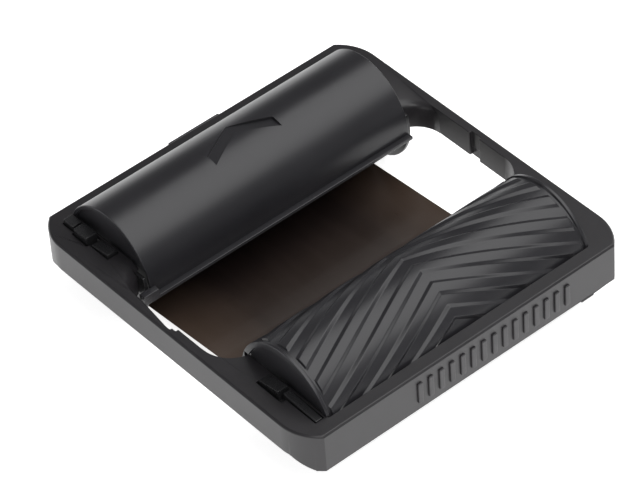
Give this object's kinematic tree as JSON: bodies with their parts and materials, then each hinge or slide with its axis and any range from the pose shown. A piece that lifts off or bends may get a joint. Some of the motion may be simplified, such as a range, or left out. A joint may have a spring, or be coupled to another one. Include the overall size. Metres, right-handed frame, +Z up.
{
  "type": "thermal transfer ribbon cartridge",
  "caption": "Drop-in ribbon cartridge for a label maker: open tray frame, two curved spool covers, supply and take-up spools with the ribbon web between.",
  "frame": {"origin": "on the surface that the cartridge stands on, at the middle of its outline", "axes": "+X along the spool axes towards the driven hubs, +Y towards the supply spool, +Z up out of the deck"},
  "size_m": [0.1514, 0.1554, 0.0463],
  "materials": {
    "frame_plastic": "satin black moulded ABS, light grain",
    "cover_plastic": "smooth satin black moulded ABS",
    "plate_plastic": "dark moulded acetal",
    "hub_plastic": "dark moulded acetal",
    "core_board": "wound paperboard",
    "ribbon": "glossy black ink ribbon film",
    "felt": "pressed felt",
    "spring_steel": "drawn spring wire"
  },
  "bodies": {
    "body": {"frame": "frame_plastic", "supply_cover": "cover_plastic", "takeup_cover": "cover_plastic", "supply_bearing_plate_left": "plate_plastic", "supply_bearing_plate_right": "plate_plastic", "takeup_bearing_plate_left": "plate_plastic", "takeup_bearing_plate_right": "plate_plastic", "supply_drag_felt": "felt", "takeup_drag_felt": "felt", "supply_drag_spring": "spring_steel", "takeup_drag_spring": "spring_steel", "ribbon_web": "ribbon"},
    "supply_spool": {"supply_core": "core_board", "supply_ribbon_roll": "ribbon", "supply_hub_left": "hub_plastic", "supply_hub_right": "hub_plastic"},
    "takeup_spool": {"takeup_core": "core_board", "takeup_ribbon_roll": "ribbon", "takeup_hub_left": "hub_plastic", "takeup_hub_right": "hub_plastic"}
  },
  "joints": [
    {"name": "supply_spin", "type": "hinge", "parent": "body", "child": "supply_spool", "pos_m": [0, 0.05, 0.022], "axis": [1, 0, 0], "continuous": true},
    {"name": "takeup_spin", "type": "hinge", "parent": "body", "child": "takeup_spool", "pos_m": [0, -0.0483, 0.0221], "axis": [1, 0, 0], "continuous": true}
  ],
  "couplings": [
    {"joint": "takeup_spin", "follows": "supply_spin", "ratio": 1.5573}
  ]
}
